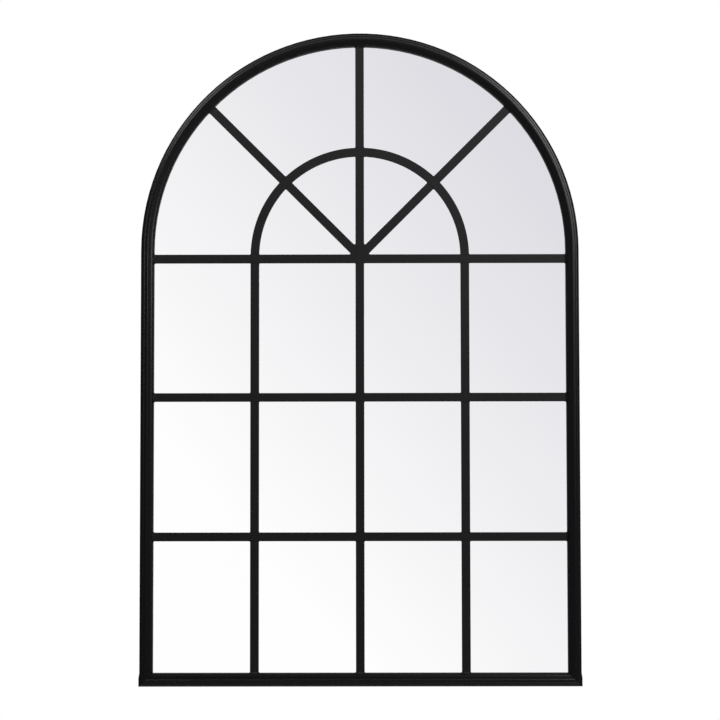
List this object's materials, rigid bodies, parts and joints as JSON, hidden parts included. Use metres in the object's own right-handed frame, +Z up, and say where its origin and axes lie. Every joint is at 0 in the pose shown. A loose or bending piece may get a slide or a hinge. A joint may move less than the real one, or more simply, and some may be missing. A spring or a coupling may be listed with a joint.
{
  "type": "arched window mirror",
  "caption": "Wall mirror made as an arched window: black moulded metal frame, fan-topped lattice of flat bars over a mirror pane, backing board, clips and swinging hanging rings.",
  "frame": {"origin": "on the wall plane, midway between the two hanging-ring pivots", "axes": "+Z up along the legs, +X to the viewer's right, +Y back into the wall; the mirror faces -Y"},
  "size_m": [0.815, 0.03, 1.2099],
  "materials": {
    "frame_black": "semi-gloss black coating",
    "bar_black": "satin black coating",
    "silvered_glass": "polished silvered float glass",
    "backing_hardboard": "smooth brown hardboard",
    "block_rubber": "matte",
    "bumper_rubber": "matte",
    "clip_zinc": "zinc plated",
    "screw_zinc": "zinc plated",
    "strap_zinc": "zinc plated",
    "ring_nickel": "nickel plated wire"
  },
  "bodies": {
    "mirror": {"backing_board": "backing_hardboard", "clip_arch_crown": "clip_zinc", "clip_arch_left": "clip_zinc", "clip_arch_right": "clip_zinc", "clip_leg_left_lower": "clip_zinc", "clip_leg_left_upper": "clip_zinc", "clip_leg_right_lower": "clip_zinc", "clip_leg_right_upper": "clip_zinc", "clip_rail_left": "clip_zinc", "clip_rail_right": "clip_zinc", "clip_screws": "screw_zinc", "corner_plate_left": "frame_black", "corner_plate_right": "frame_black", "fan_arch": "bar_black", "frame_arch": "frame_black", "frame_bottom_rail": "frame_black", "hanger_screws": "screw_zinc", "hanger_strap_left": "strap_zinc", "hanger_strap_right": "strap_zinc", "mirror_pane": "silvered_glass", "radial_inner_centre": "bar_black", "radial_inner_left": "bar_black", "radial_inner_right": "bar_black", "radial_outer_centre": "bar_black", "radial_outer_left": "bar_black", "radial_outer_right": "bar_black", "setting_block_left": "block_rubber", "setting_block_right": "block_rubber", "transom_lower": "bar_black", "transom_middle": "bar_black", "transom_upper": "bar_black", "upright_centre_lower": "bar_black", "upright_centre_middle": "bar_black", "upright_centre_upper": "bar_black", "upright_left_lower": "bar_black", "upright_left_middle": "bar_black", "upright_left_upper": "bar_black", "upright_right_lower": "bar_black", "upright_right_middle": "bar_black", "upright_right_upper": "bar_black", "wall_bumper_lower_left": "bumper_rubber", "wall_bumper_lower_right": "bumper_rubber", "wall_bumper_upper_left": "bumper_rubber", "wall_bumper_upper_right": "bumper_rubber"},
    "ring_left": {"hanger_ring_left": "ring_nickel"},
    "ring_right": {"hanger_ring_right": "ring_nickel"}
  },
  "joints": [
    {"name": "ring_left_swing", "type": "hinge", "parent": "mirror", "child": "ring_left", "pos_m": [-0.397, -0.00307, 0], "axis": [1, 0, 0], "range_deg": [0, 180]},
    {"name": "ring_right_swing", "type": "hinge", "parent": "mirror", "child": "ring_right", "pos_m": [0.397, -0.00307, 0], "axis": [1, 0, 0], "range_deg": [0, 180]}
  ]
}
